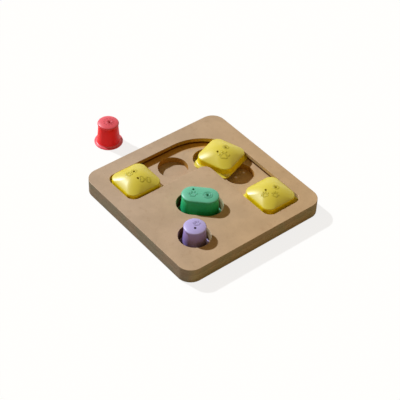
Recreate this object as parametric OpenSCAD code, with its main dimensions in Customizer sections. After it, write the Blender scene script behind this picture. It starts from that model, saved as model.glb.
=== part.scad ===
// Dog puzzle feeder: a square board of four glued sheets with a bent slider track,
// treat pits, three captive slider caps and three lift-out cups.
// The frame's origin is on the table, under the middle of the board. +Z is up.
// The long free stretch of track runs down the -X side and along the +Y side.

/* [Board] */
// Side of the square board
board_w = 300; // [290:1:330]
// Corner radius of the board in plan
board_corner_r = 25.5; // [15:0.5:32]
// Thickness of the deck, the sheet that the caps stand through
deck_t = 7.5; // [6:0.5:10]
// Thickness of the guide sheet, the height of the undercut
guide_t = 4; // [3.5:0.25:6]
// Thickness of the pit sheet, the depth of the treat pits
pit_t = 11.5; // [8:0.5:16]
// Thickness of the base sheet under the pits
base_t = 6; // [4:0.5:9]
// Width of the eased edge on the deck and on the base
edge_bevel = 0.8; // [0.4:0.1:1.2]

/* [Track] */
// Rim of deck left between the board's edge and the track
track_margin = 28.5; // [26:0.5:32]
// Width of the track opening in the deck
track_w = 77; // [74:0.5:79]
// Radius of the track's centreline round the bend
bend_r = 54; // [52:0.5:60]
// Corner radius at the two ends of the track
track_end_r = 16; // [10:0.5:20]
// Rim of deck left at the near leg's end
near_end_rim = 30; // [26:0.5:34]
// Rim of deck left at the far leg's end
far_end_rim = 24; // [22:0.5:32]

/* [Pits] */
// Radius of a treat pit
pit_r = 27.5; // [20:0.5:30]
// Distance from an end pit to the next pit of its leg
pit_pitch = 82; // [74:0.5:84]
// Distance of the corner pit from the bend's centre
corner_pit_reach = 50; // [46:0.5:54]

/* [Cups] */
// Height of a cup
cup_h = 48; // [40:0.5:60]
// Radius of a cup's foot flange
cup_foot_r = 26.5; // [24:0.5:29]
// Thickness of the foot flange
cup_foot_t = 2.5; // [1.5:0.25:4]
// Radius of a cup's body where it meets the foot
cup_base_r = 21.5; // [19.5:0.25:23]
// Radius of a cup's body just under its head
cup_neck_r = 18.3; // [16:0.25:19]
// Radius of the head, the disc that closes a cup
cup_head_r = 19.7; // [19.5:0.1:22]
// Height of the head's edge
cup_head_h = 4; // [3.5:0.25:6]
// Rise of the head's domed top above its edge
cup_dome = 2.5; // [1:0.25:4]
// Rounding of the head's edge
cup_head_edge = 1.5; // [0.5:0.1:1.7]
// Wall of the cups
cup_wall = 2; // [1.2:0.1:3]
// Radius of the blend between body and foot
cup_blend_r = 3.5; // [1:0.25:5]
// Gap between a cup's foot and its hole
cup_gap = 2; // [0.5:0.25:3]
// Distance between the two end circles of the long cup
long_cup_span = 26; // [16:1:34]
// Long cup's place, in from the track's two inner edges
long_cup_inset = 74; // [68:0.5:78]
// Round cup's place, in from the same two edges
round_cup_inset = 129.5; // [126:0.5:136]
// Where the loose cup stands, left of the board's left edge
loose_cup_left = 79; // [60:1:120]
// Where the loose cup stands, towards -Y from the middle
loose_cup_front = 38.5; // [0:0.5:90]

/* [Slider caps] */
// Gap between a cap's side and the deck
cap_gap = 3.75; // [3:0.25:5]
// Gap between the left cap and the near leg's end
near_cap_gap = 2.25; // [1:0.25:6]
// Gap between the right cap and the far leg's end
far_cap_gap = 6.25; // [1:0.25:8]
// Corner radius of a cap in plan
cap_corner_r = 16; // [13:0.5:20]
// Height of a cap's crown above the deck
cap_rise = 16; // [14:0.5:24]
// Height of the pillow, from its shoulder to its crown
pillow_h = 12; // [8:0.5:13]
// Width of the eased edge at the shoulder
cap_edge = 2; // [0.6:0.1:2]
// Wall of a cap
cap_wall = 2.4; // [1.6:0.1:3]
// How far the flange reaches under the deck when the cap is centred
flange_catch = 4.5; // [4:0.25:5]
// Gap between the flange and the undercut's wall
flange_gap = 4; // [3:0.25:5]
// How far the flange stands out at the cap's two ends
flange_end = 1.25; // [0.25:0.25:2.5]
// Corner radius of the flange in plan
flange_corner_r = 14; // [12:0.5:20]
// Thickness of the flange
flange_t = 2.2; // [1.6:0.1:2.6]
// Radius of the blend between cap and flange
cap_blend_r = 4.5; // [2:0.25:6]
// Gap between a flange and the track floor
slide_gap = 0.2; // [0.1:0.05:0.4]
// Angle of the middle cap back along the bend, from the far leg
middle_angle = 18.5; // [10:0.5:24]

/* [Scent holes] */
// Diameter of a scent hole
scent_d = 3.2; // [2:0.1:5]
// Distance between the two scent holes of a cap
scent_pitch = 19.7; // [14:0.1:26]
// Turn of the two holes of a cap from the track's direction
scent_turn = 75; // [0:5:90]
// How far the purple cup's hole stands off its middle
purple_hole_off = 6.5; // [0:0.5:9]
// How far the red cup's hole stands off its middle
red_hole_off = 3; // [0:0.5:9]
// How far the long cup's left hole stands off its long axis
left_hole_off = 9.5; // [0:0.5:12]
// How far its right hole stands off the other way
right_hole_off = 2; // [0:0.5:12]

/* [Feet] */
// Diameter of a rubber foot
foot_d = 20; // [12:1:26]
// Height of a foot under the base
foot_h = 1.5; // [1:0.25:3]
// Width of a foot's eased lower edge
foot_ease = 0.5; // [0.2:0.1:0.8]
// Place of each foot, in from the board's two edges
foot_inset = 30; // [24:1:40]

/* [Hidden] */
$fn = 96;
hole_fn = 24;        // steps round a scent hole
cut = 1;             // how far a cutter runs past the face it opens

// The pillow's form
hull_fn = 32;        // corner steps of its slices
pillow_slices = 9;   // steps between shoulder and crown
slice_t = 0.01;      // height of a slice
crown_half = 1.5;    // half side of the slice at the crown
pillow_power = 2.2;  // power of its fall from the crown: the larger, the flatter its middle
pillow_turn = 3;     // power by which the slices grow round towards the crown
purple_turn = -35;   // which way the purple cup's hole stands off
red_turn = 15;       // which way the red cup's hole stands off

board_half = board_w / 2;
base_top = foot_h + base_t;
floor_z = base_top + pit_t;      // the track floor
deck_z = floor_z + guide_t;      // the deck's underside
top_z = deck_z + deck_t;

track_half = track_w / 2;
track_line = board_half - track_margin - track_half; // the legs' centrelines
track_inner = track_line - track_half;                // the inner edges are at -X and +Y
near_end = board_half - near_end_rim;
far_end = board_half - far_end_rim;
bend_at = track_line - bend_r;                       // the bend's centre is (-bend_at, bend_at)
undercut = flange_catch + flange_gap;
pit_line = track_line;                               // an end pit's place along its leg

cup_hole_r = cup_foot_r + cup_gap;
cup_rim_z = cup_h - cup_dome;    // where the domed top starts
cup_head_z = cup_rim_z - cup_head_h;
long_cup = long_cup_inset - track_inner;
round_cup = round_cup_inset - track_inner;

cap_half = track_half - cap_gap;
cap_core = cap_half - cap_corner_r; // half side of the square that the corner radius goes round
cap_z = floor_z + slide_gap;
cap_h = top_z + cap_rise - cap_z;
shoulder_z = cap_h - pillow_h;
flange_half = track_half + flange_catch;
left_cap = near_end - near_cap_gap - cap_half;  // along the near leg
right_cap = far_end - far_cap_gap - cap_half;   // along the far leg

foot_at = board_half - foot_inset;

wood = [0.72, 0.61, 0.49];
wood_shade = [0.62, 0.51, 0.40];
yellow = [0.86, 0.80, 0.38];
purple = [0.60, 0.54, 0.72];
green = [0.24, 0.62, 0.47];
red = [0.80, 0.16, 0.18];
rubber = [0.22, 0.22, 0.23];

// A rectangle of half sides x_half and y_half with round corners, all of it true arcs.
module rounded_plate(x_half, y_half, r, fn = $fn) {
    square([2 * (x_half - r), 2 * y_half], center = true);
    square([2 * x_half, 2 * (y_half - r)], center = true);
    for (x = [-1, 1], y = [-1, 1])
        translate([x * (x_half - r), y * (y_half - r)]) circle(r, $fn = fn);
}

module rounded_square(half, r, fn = $fn) {
    rounded_plate(half, half, r, fn);
}

// A square slab whose edge leans in by lean over its height.
module leaning_slab(half, r, h, lean) {
    for (a = [0, 90])
        rotate([90, 0, a]) translate([0, 0, r - half])
            linear_extrude(2 * (half - r))
                polygon([[-half, 0], [half, 0], [half - lean, h], [lean - half, h]]);
    for (x = [-1, 1], y = [-1, 1])
        translate([x * (half - r), y * (half - r), 0]) cylinder(h, r, r - lean);
}

// Sweeps a half profile round a slot of the given span along X. A span of 0 makes it round.
module swept_round(span) {
    if (span == 0) {
        rotate_extrude() children();
    } else {
        for (s = [0, 1]) mirror([s, 0, 0]) {
            translate([span / 2, 0, 0]) rotate([0, 0, -90]) rotate_extrude(angle = 180) children();
            for (m = [0, 1]) mirror([0, m, 0])
                rotate([90, 0, 90]) linear_extrude(span / 2) children();
        }
    }
}

// One leg of the track with its round end, along -Y from the bend. It widens by lean over h.
module track_leg(half, end, r, h, lean) {
    section = [[-half, 0], [half, 0], [half + lean, h], [-half - lean, h]];
    translate([-track_line, 0, 0]) {
        translate([0, bend_at, 0]) rotate([90, 0, 0])
            linear_extrude(bend_at + end - r) polygon(section);
        translate([0, r - end, 0]) rotate([90, 0, 90])
            translate([0, 0, r - half]) linear_extrude(2 * (half - r))
                polygon([[0, 0], [0, h], [-r - lean, h], [-r, 0]]);
        for (x = [-1, 1])
            translate([x * (half - r), r - end, 0]) cylinder(h, r, r + lean);
    }
}

// The whole track as a cutter: the near leg, the far leg mirrored about the board's
// diagonal, and the bend.
module track_cutter(grow, h, lean = 0) {
    half = track_half + grow;
    r = track_end_r + grow;
    track_leg(half, near_end + grow, r, h, lean);
    mirror([1, 1, 0]) track_leg(half, far_end + grow, r, h, lean);
    translate([-bend_at, bend_at, 0]) rotate([0, 0, 90]) rotate_extrude(angle = 90)
        polygon([[bend_r - half, 0], [bend_r + half, 0],
                 [bend_r + half + lean, h], [bend_r - half - lean, h]]);
}

// The two cup holes as a cutter, which widens by lean over h.
module cup_hole_cutter(h, lean = 0) {
    section = [[0, 0], [cup_hole_r, 0], [cup_hole_r + lean, h], [0, h]];
    translate([round_cup, -round_cup, 0]) swept_round(0) polygon(section);
    translate([long_cup, -long_cup, 0]) rotate([0, 0, 45])
        swept_round(long_cup_span) polygon(section);
}

// A plain sheet of the board.
module sheet(z, t) {
    translate([0, 0, z]) linear_extrude(t) rounded_square(board_half, board_corner_r);
}

module deck_panel() {
    color(wood) difference() {
        union() {
            sheet(deck_z, deck_t - edge_bevel);
            translate([0, 0, top_z - edge_bevel])
                leaning_slab(board_half, board_corner_r, edge_bevel, edge_bevel);
        }
        translate([0, 0, deck_z - cut]) {
            track_cutter(0, deck_t + 2 * cut);
            cup_hole_cutter(deck_t + 2 * cut);
        }
        translate([0, 0, top_z - edge_bevel]) {
            track_cutter(0, edge_bevel, edge_bevel);
            cup_hole_cutter(edge_bevel, edge_bevel);
        }
    }
}

module guide_panel() {
    color(wood_shade) difference() {
        sheet(floor_z, guide_t);
        translate([0, 0, floor_z - cut]) {
            track_cutter(undercut, guide_t + 2 * cut);
            cup_hole_cutter(guide_t + 2 * cut);
        }
    }
}

// One pit as a cutter.
module pit(x, y) {
    translate([x, y, base_top - cut]) cylinder(pit_t + 2 * cut, r = pit_r);
}

module pit_panel() {
    color(wood) difference() {
        sheet(base_top, pit_t);
        translate([0, 0, base_top - cut]) cup_hole_cutter(pit_t + 2 * cut);
        for (along = [-pit_line, pit_pitch - pit_line]) {
            pit(-track_line, along);
            pit(-along, track_line);
        }
        corner_pit = bend_at + corner_pit_reach * cos(45);
        pit(-corner_pit, corner_pit);
    }
}

module base_panel() {
    color(wood_shade) union() {
        translate([0, 0, foot_h + edge_bevel]) mirror([0, 0, 1])
            leaning_slab(board_half, board_corner_r, edge_bevel, edge_bevel);
        sheet(foot_h + edge_bevel, base_t - edge_bevel);
    }
}

// One level slice of a pillow over a square of half side w, shrunk to half.
module pillow_slice(w, core, half) {
    slice_core = core * pow(half / w, pillow_turn);
    linear_extrude(slice_t) rounded_square(half, half - slice_core, hull_fn);
}

// The pillow over a square of half side w: a dome of level slices that grow rounder
// towards the crown, h above the shoulder, with its lower edge eased.
module pillow(w, core, h, edge = 0) {
    hull() {
        translate([0, 0, -edge]) pillow_slice(w, core, w);
        for (i = [0 : pillow_slices]) {
            half = w - edge - (w - edge - crown_half) * i / pillow_slices;
            translate([0, 0, (h - slice_t) * (1 - pow(half / w, pillow_power))])
                pillow_slice(w, core, half);
        }
    }
}

// Plan of a cap's flange: wide across the track and short along it.
module flange_plan() {
    rounded_plate(cap_half + flange_end, flange_half, flange_corner_r);
}

// A cap's foot: the thin flange, and above it the blend, which ends flush with the flange.
module cap_flange() {
    linear_extrude(flange_t) flange_plan();
    translate([0, 0, flange_t]) intersection() {
        linear_extrude(cap_blend_r) flange_plan();
        // it goes round the four corners and along the four sides
        union() for (a = [0 : 90 : 270]) rotate([0, 0, a]) translate([cap_core, cap_core]) {
            rotate_extrude(angle = 90) cap_blend();
            rotate([90, 0, 0]) linear_extrude(2 * cap_core) cap_blend();
        }
    }
}

// Half profile of the blend, from the core square's edge outwards.
module cap_blend() {
    difference() {
        translate([cap_corner_r - cap_wall / 2, 0])
            square([cap_wall / 2 + cap_blend_r, cap_blend_r]);
        translate([cap_corner_r + cap_blend_r, cap_blend_r]) circle(cap_blend_r);
    }
}

// A slider cap, its flange on z = 0 and the track along X: an open-bottomed pillow.
module cap() {
    inner = cap_half - cap_wall;
    inner_r = cap_corner_r - cap_wall;
    difference() {
        union() {
            cap_flange();
            linear_extrude(shoulder_z - cap_edge) rounded_square(cap_half, cap_corner_r);
            translate([0, 0, shoulder_z]) pillow(cap_half, cap_core, pillow_h, cap_edge);
        }
        translate([0, 0, -cut]) linear_extrude(shoulder_z + cut) rounded_square(inner, inner_r);
        translate([0, 0, shoulder_z - slice_t]) pillow(inner, cap_core, pillow_h - cap_wall);
        rotate([0, 0, scent_turn]) for (s = [-1, 1])
            translate([s * scent_pitch / 2, 0, shoulder_z])
                cylinder(pillow_h + cut, d = scent_d, $fn = hole_fn);
    }
}

module slider_left() {
    color(yellow) translate([-track_line, -left_cap, cap_z]) rotate([0, 0, -90]) cap();
}

module slider_middle() {
    color(yellow) translate([-bend_at, bend_at, cap_z]) rotate([0, 0, middle_angle])
        translate([0, bend_r, 0]) cap();
}

module slider_right() {
    color(yellow) translate([right_cap, track_line, cap_z]) cap();
}

// Half profile of a cup's outside: foot, blend, tapered body and rounded head.
module cup_outside() {
    edge = cup_foot_t / 2;
    blend_top = cup_foot_t + cup_blend_r;
    blend_x = cup_base_r + (cup_neck_r - cup_base_r) * cup_blend_r / (cup_head_z - cup_foot_t);
    square([cup_foot_r - edge, cup_foot_t]);
    translate([cup_foot_r - edge, edge]) intersection() {
        circle(edge);
        translate([0, -edge]) square([edge, 2 * edge]);
    }
    polygon([[0, cup_foot_t], [cup_base_r, cup_foot_t], [cup_neck_r, cup_head_z + cup_head_edge],
             [0, cup_head_z + cup_head_edge]]);
    difference() {
        translate([cup_base_r - cup_wall, cup_foot_t])
            square([cup_wall + cup_blend_r - cup_base_r + blend_x, cup_blend_r]);
        translate([blend_x + cup_blend_r, blend_top]) circle(cup_blend_r);
    }
    // the domed top is the part of a large disc that stands above the edge
    dome_half = cup_head_r - cup_head_edge;
    dome_r = (dome_half * dome_half + cup_dome * cup_dome) / (2 * cup_dome);
    intersection() {
        translate([0, cup_h - dome_r]) circle(dome_r);
        translate([0, cup_head_z + cup_head_edge]) square([dome_half, dome_r]);
    }
    translate([0, cup_head_z]) {
        square([cup_head_r - cup_head_edge, cup_head_h]);
        translate([0, cup_head_edge]) square([cup_head_r, cup_head_h - 2 * cup_head_edge]);
        for (z = [cup_head_edge, cup_head_h - cup_head_edge])
            translate([cup_head_r - cup_head_edge, z]) circle(cup_head_edge);
    }
}

// Half profile of a cup's hollow, open below.
module cup_inside() {
    polygon([[0, -cut], [cup_base_r - cup_wall, -cut], [cup_base_r - cup_wall, cup_foot_t],
             [cup_neck_r - cup_wall, cup_rim_z - cup_wall], [0, cup_h - cup_wall]]);
}

// A cup standing on its open foot, drawn out along X by span, with its scent holes.
module cup(span, holes) {
    difference() {
        swept_round(span) cup_outside();
        swept_round(span) cup_inside();
        for (at = holes)
            translate([at[0], at[1], cup_rim_z - cup_wall - cut])
                cylinder(cup_dome + cup_wall + 2 * cut, d = scent_d, $fn = hole_fn);
    }
}

module cup_purple() {
    color(purple) translate([round_cup, -round_cup, base_top]) rotate([0, 0, purple_turn])
        cup(0, [[purple_hole_off, 0]]);
}

module cup_green() {
    end = long_cup_span / 2;
    color(green) translate([long_cup, -long_cup, base_top]) rotate([0, 0, 45])
        cup(long_cup_span, [[-end, left_hole_off], [end, -right_hole_off]]);
}

module cup_red() {
    color(red) translate([-board_half - loose_cup_left, -loose_cup_front, 0])
        rotate([0, 0, red_turn]) cup(0, [[red_hole_off, 0]]);
}

// A rubber foot at one corner of the base, x and y being -1 or 1.
module foot(x, y) {
    color(rubber) translate([x * foot_at, y * foot_at, 0]) {
        cylinder(foot_ease, d1 = foot_d - 2 * foot_ease, d2 = foot_d);
        translate([0, 0, foot_ease]) cylinder(foot_h - foot_ease, d = foot_d);
    }
}

module foot_front_left() { foot(-1, -1); }
module foot_front_right() { foot(1, -1); }
module foot_back_left() { foot(-1, 1); }
module foot_back_right() { foot(1, 1); }

deck_panel();
guide_panel();
pit_panel();
base_panel();
slider_left();
slider_middle();
slider_right();
cup_purple();
cup_green();
cup_red();
foot_front_left();
foot_front_right();
foot_back_left();
foot_back_right();
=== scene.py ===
"""Dog puzzle feeder: the finished looks of its board, slider caps, cups and feet.

Sizes are in metres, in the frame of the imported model: +Z up, the origin on the table
under the middle of the board, the legs of its track along -X and +Y.
"""

import math
from collections import namedtuple

import bmesh
import bpy
import numpy as np
from mathutils import Matrix, Vector


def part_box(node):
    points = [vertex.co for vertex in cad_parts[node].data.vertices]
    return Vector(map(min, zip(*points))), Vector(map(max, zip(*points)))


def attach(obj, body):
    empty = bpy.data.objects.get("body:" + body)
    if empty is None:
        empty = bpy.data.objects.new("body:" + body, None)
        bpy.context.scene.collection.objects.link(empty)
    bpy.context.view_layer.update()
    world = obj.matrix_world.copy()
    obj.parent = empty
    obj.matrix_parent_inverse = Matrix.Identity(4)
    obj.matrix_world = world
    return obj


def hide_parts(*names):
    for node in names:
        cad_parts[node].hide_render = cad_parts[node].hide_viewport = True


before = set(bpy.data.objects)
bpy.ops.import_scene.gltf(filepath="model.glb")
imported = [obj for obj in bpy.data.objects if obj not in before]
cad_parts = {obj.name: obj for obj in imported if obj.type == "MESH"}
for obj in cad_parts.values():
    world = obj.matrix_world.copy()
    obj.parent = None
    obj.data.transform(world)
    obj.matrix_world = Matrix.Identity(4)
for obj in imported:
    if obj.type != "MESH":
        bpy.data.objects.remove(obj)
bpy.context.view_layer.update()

bl_info = {
    "name": "Dog Puzzle Feeder",
    "version": (1, 0, 0),
    "blender": (4, 5, 0),
    "location": "3D View > Sidebar > Feeder",
    "description": "Builds a layered slider board with its caps and lift-out cups",
    "category": "Object",
}

MM = 0.001
DECK_LOW, DECK_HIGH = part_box("deck_panel")
CAP_LOW, CAP_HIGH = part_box("slider_left")
CUP_LOW, CUP_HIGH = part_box("cup_red")
FOOT_LOW, FOOT_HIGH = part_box("foot_front_left")
SHARP_EDGE = math.radians(38)   # edges turned further than this stay sharp


# ---- settings


def length(label, about, default):
    return bpy.props.FloatProperty(
        name=label, description=about, default=default, min=0, precision=5,
        unit="LENGTH", subtype="DISTANCE")


def turn(label, about, degrees):
    return bpy.props.FloatProperty(
        name=label, description=about, default=math.radians(degrees),
        unit="ROTATION", subtype="ANGLE")


def number(label, about, default, low=0.0, high=10.0):
    return bpy.props.FloatProperty(
        name=label, description=about, default=default, min=low, max=high)


def colour(label, about, red, green, blue):
    """A colour property whose default is written in display values from 0 to 255."""
    linear = [((v / 255 + 0.055) / 1.055) ** 2.4 if v > 10 else v / 255 / 12.92
              for v in (red, green, blue)]
    return bpy.props.FloatVectorProperty(
        name=label, description=about, default=linear, size=3, min=0, max=1,
        subtype="COLOR")


class BoardSizes(bpy.types.PropertyGroup):
    side: length("Side", "Side of the square board", DECK_HIGH.x - DECK_LOW.x)
    corner_r: length("Corner radius", "Radius of the board's corners", 25.5 * MM)
    margin: length("Margin", "Rim of deck along the track", 28.5 * MM)
    near_rim: length("Near rim", "Rim of deck at the near leg's end", 30 * MM)
    far_rim: length("Far rim", "Rim of deck at the far leg's end", 24 * MM)
    track_w: length("Track width", "Width of the track opening", 77 * MM)
    bend_r: length("Bend radius", "Radius of the track's centreline", 54 * MM)
    end_r: length("End radius", "Corner radius at the track's ends", 16 * MM)
    undercut: length("Undercut", "How far the guide sheet stands back", 8.5 * MM)
    pit_r: length("Pit radius", "Radius of a treat pit", 27.5 * MM)
    pit_pitch: length("Pit pitch", "From an end pit to the next", 82 * MM)
    corner_reach: length("Corner pit", "From the bend's centre to its pit", 50 * MM)
    hole_r: length("Cup hole radius", "Radius of the cups' holes", 28.5 * MM)
    rim: length("Eased rim", "Radius of the deck's eased edges", 0.6 * MM)
    base_rim: length("Base rim", "Radius of the base's lower edge", 0.9 * MM)
    joint: length("Glue joint", "Tiny easing at each glue line", 0.12 * MM)


class CapSizes(bpy.types.PropertyGroup):
    half: length("Half side", "Half side of a cap", 34.75 * MM)
    corner_r: length("Corner radius", "Radius of a cap's corners", 16 * MM)
    pillow_h: length("Pillow height", "From shoulder to crown", 12 * MM)
    wall: length("Wall", "Wall of a cap", 2.4 * MM)
    shoulder_r: length("Shoulder", "Rounding of the shoulder's edge", 3.0 * MM)
    flange_x: length("Flange end", "Half length along the track", 36 * MM)
    flange_y: length("Flange side", "Half width across the track", 43 * MM)
    flange_r: length("Flange corner", "Corner radius of the flange", 14 * MM)
    flange_t: length("Flange", "Thickness of the flange", 2.2 * MM)
    blend_r: length("Blend", "Radius between cap and flange", 4.5 * MM)
    edge: length("Flange edge", "Rounding of the flange's edge", 0.45 * MM)
    middle_turn: turn("Middle cap", "Turn of the middle cap round the bend", 18.5)
    left_turn: turn("Left cap", "Turn of the left cap", -90)
    hole_pitch: length("Hole pitch", "Between a cap's two scent holes", 19.7 * MM)
    hole_turn: turn("Hole turn", "Turn of the pair from the track", 75)


class CupSizes(bpy.types.PropertyGroup):
    foot_r: length("Foot radius", "Radius of the foot flange", 26.49 * MM)
    foot_t: length("Foot", "Thickness of the foot flange", 2.5 * MM)
    base_r: length("Base radius", "Radius of the body at its foot", 21.5 * MM)
    neck_r: length("Neck radius", "Radius of the body under its head", 18.3 * MM)
    head_r: length("Head radius", "Radius of the head", 19.7 * MM)
    head_h: length("Head", "Height of the head's edge", 4 * MM)
    head_edge: length("Head edge", "Rounding of the head's edge", 2.6 * MM)
    dome: length("Dome", "Rise of the head's domed top", 3.25 * MM)
    wall: length("Wall", "Wall of a cup", 2 * MM)
    blend_r: length("Blend", "Radius between body and foot", 3.5 * MM)
    long_span: length("Long cup", "Between the long cup's end circles", 26 * MM)
    long_turn: turn("Long cup's turn", "Turn of the long cup", 45)


class ReliefSizes(bpy.types.PropertyGroup):
    height: length("Height", "How far the moulded marks stand proud", 0.55 * MM)
    line_w: length("Line width", "Width of a raised line", 1.6 * MM)
    ramp: length("Ramp", "Width of the soft flank of a mark", 0.85 * MM)
    hole_r: length("Scent hole", "Radius of a scent hole", 2.0 * MM)
    hole_ease: length("Hole's edge", "Easing of a scent hole's edge", 0.2 * MM)
    mesh: length("Mesh", "Spacing of the rings that carry the marks", 0.45 * MM)


class Finish(bpy.types.PropertyGroup):
    deck: colour("Board", "Smooth face of the fibreboard", 186, 162, 138)
    # the face's warmer colour, which it shifts to from one corner of the board to the one
    # across
    warmer_face: colour("Aged board", "The same face where it has yellowed", 189, 158, 121)
    # cut, routed and hole each have an _end colour for walls that face front and back: lit and
    # shaded copies of one material, painted light and shade for how the light falls on each
    # side
    cut: colour("Cut edge", "Left and right edges of the fibreboard", 168, 143, 103)
    cut_end: colour("Other cut edge", "Front and back edges", 140, 122, 101)
    routed: colour("Routed edge", "Walls of pits, and left and right of track", 180, 131, 64)
    routed_end: colour("Other routed edge", "Front and back walls of the track", 200, 167, 125)
    hole: colour("Hole", "Left and right walls of the cups' holes", 104, 70, 38)
    hole_end: colour("Hole's ends", "Front and back walls in the deck", 214, 191, 152)
    yellow: colour("Caps", "Moulded plastic of the caps", 210, 192, 54)
    purple: colour("Purple cup", "Moulded plastic of the purple cup", 174, 161, 212)
    green: colour("Green cup", "Moulded plastic of the long cup", 90, 177, 142)
    red: colour("Red cup", "Moulded plastic of the red cup", 224, 76, 88)
    # the walls' colours are a painted glow, brighter and deeper than the plastic, standing in
    # for light through the thin walls and thrown onto them
    yellow_wall: colour("Caps' walls", "Colour of their upright walls", 255, 232, 14)
    purple_wall: colour("Purple cup's wall", "Colour of its upright wall", 154, 134, 200)
    green_wall: colour("Green cup's wall", "Colour of its upright wall", 40, 188, 122)
    red_wall: colour("Red cup's wall", "Colour of its upright wall", 255, 14, 12)
    rubber: colour("Feet", "Rubber of the feet", 52, 52, 54)


class StageSettings(bpy.types.PropertyGroup):
    azimuth: turn("Camera azimuth", "0 looks along +Y", 49.82)
    elevation: turn("Camera elevation", "Angle above the table", 43.10)
    roll: turn("Camera roll", "Tilt of the picture", 2.34)
    distance: length("Distance", "From the camera to its target", 2.1368)
    lens: number("Lens", "Focal length in millimetres", 111.2, 10, 500)
    sun_azimuth: turn("Sun azimuth", "Where its light goes, from +X to +Y", 15)
    sun_elevation: turn("Sun elevation", "Height of the sun", 41)
    sun_size: turn("Sun size", "Softness of the shadows", 2.5)
    sun: number("Sun", "Strength of the sun", 4.2)
    ambient: number("Ambient", "Strength of the light from all round", 0.27)
    sun_tint: colour("Sun tint", "Colour of the sun", 233, 243, 255)
    ambient_tint: colour("Ambient tint", "Colour from all round", 255, 213, 122)
    floor: colour("Floor", "Cloth of the floor as it is seen", 120, 118, 114)
    bounce: colour("Floor's bounce", "What the floor throws back", 226, 224, 220)


class FeederSettings(bpy.types.PropertyGroup):
    board: bpy.props.PointerProperty(type=BoardSizes)
    cap: bpy.props.PointerProperty(type=CapSizes)
    cup: bpy.props.PointerProperty(type=CupSizes)
    relief: bpy.props.PointerProperty(type=ReliefSizes)
    finish: bpy.props.PointerProperty(type=Finish)
    stage: bpy.props.PointerProperty(type=StageSettings)


# ---- nodes


class Wire:
    """A node's output. Arithmetic on it adds Math nodes."""

    def __init__(self, nodes, socket):
        self.nodes = nodes
        self.socket = socket

    def math(self, operation, *values):
        return self.nodes.add("ShaderNodeMath", {"operation": operation},
                              dict(enumerate(values)))

    def __add__(self, other):
        return self.math("ADD", self, other)

    def __sub__(self, other):
        return self.math("SUBTRACT", self, other)

    def __rsub__(self, other):
        return self.math("SUBTRACT", other, self)

    def __mul__(self, other):
        return self.math("MULTIPLY", self, other)

    def __gt__(self, other):
        return self.math("GREATER_THAN", self, other)

    def __abs__(self):
        return self.math("ABSOLUTE", self)

    def larger(self, other):
        """The larger of two values."""
        return self.math("MAXIMUM", self, other)

    __radd__ = __add__
    __rmul__ = __mul__


class Nodes:
    """Adds nodes to one tree."""

    def __init__(self, tree):
        self.tree = tree
        tree.nodes.clear()

    def add(self, kind, settings=None, values=None, out=0):
        """A node of a kind, its settings first and then its sockets' values or wires."""
        node = self.tree.nodes.new(kind)
        for name, value in (settings or {}).items():
            setattr(node, name, value)
        for key, value in (values or {}).items():
            if isinstance(value, Wire):
                self.tree.links.new(value.socket, node.inputs[key])
            else:
                node.inputs[key].default_value = value
        return Wire(self, node.outputs[out]) if node.outputs else node

    def mix(self, share, first, second):
        """A colour between two colours."""
        return self.add("ShaderNodeMix", {"data_type": "RGBA"},
                        {0: share, 6: first, 7: second}, 2)

    def tint(self, share, colour, by):
        """A colour multiplied by another, all or a share of the way."""
        by = (by,) * 3 if isinstance(by, float) else by
        return self.add("ShaderNodeMix", {"data_type": "RGBA", "blend_type": "MULTIPLY"},
                        {0: share, 6: colour, 7: (*by, 1.0)}, 2)

    def vector(self, operation, values, out=0):
        return self.add("ShaderNodeVectorMath", {"operation": operation}, values, out)

    def axis(self, vector, name):
        """One of a vector's three parts."""
        return self.add("ShaderNodeSeparateXYZ", None, {0: vector}, name)

    def carried(self, name):
        """A value that the mesh carries at its points."""
        return self.add("ShaderNodeAttribute", {"attribute_name": name}, out="Fac")

    def noise(self, at, scale, detail=3.0, roughness=0.5):
        """Noise with as many cells to a metre as scale says."""
        return self.add("ShaderNodeTexNoise", None, {
            "Vector": at, "Scale": scale, "Detail": detail, "Roughness": roughness})

    def spread(self, value, low, high, start=0.0, end=1.0):
        """A value between low and high, brought smoothly to between start and end."""
        return self.add("ShaderNodeMapRange", {"interpolation_type": "SMOOTHSTEP"}, {
            "Value": value, "From Min": low, "From Max": high,
            "To Min": start, "To Max": end})


def shade(rgb, factor):
    """A colour made lighter or darker, as four numbers."""
    return (*(min(1.0, c * factor) for c in rgb), 1.0)


def new_material(name):
    """A new material and its nodes."""
    material = bpy.data.materials.new(name)
    material.use_nodes = True
    return material, Nodes(material.node_tree)


def close_material(nodes, values):
    """Ends a material in one Principled shader."""
    shader = nodes.add("ShaderNodeBsdfPrincipled", None, values)
    nodes.add("ShaderNodeOutputMaterial", None, {"Surface": shader})


def bump(nodes, height, strength, distance):
    return nodes.add("ShaderNodeBump", None, {
        "Strength": strength, "Distance": distance, "Height": height})


WARM_SHIFT_WAY = (0.645, 0.764, 0)   # the way in plan along which the face's colour shifts from cooler to warmer
WARM_SHIFT_REACH = 170 * MM      # from its middle to where the shift begins and ends


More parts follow.
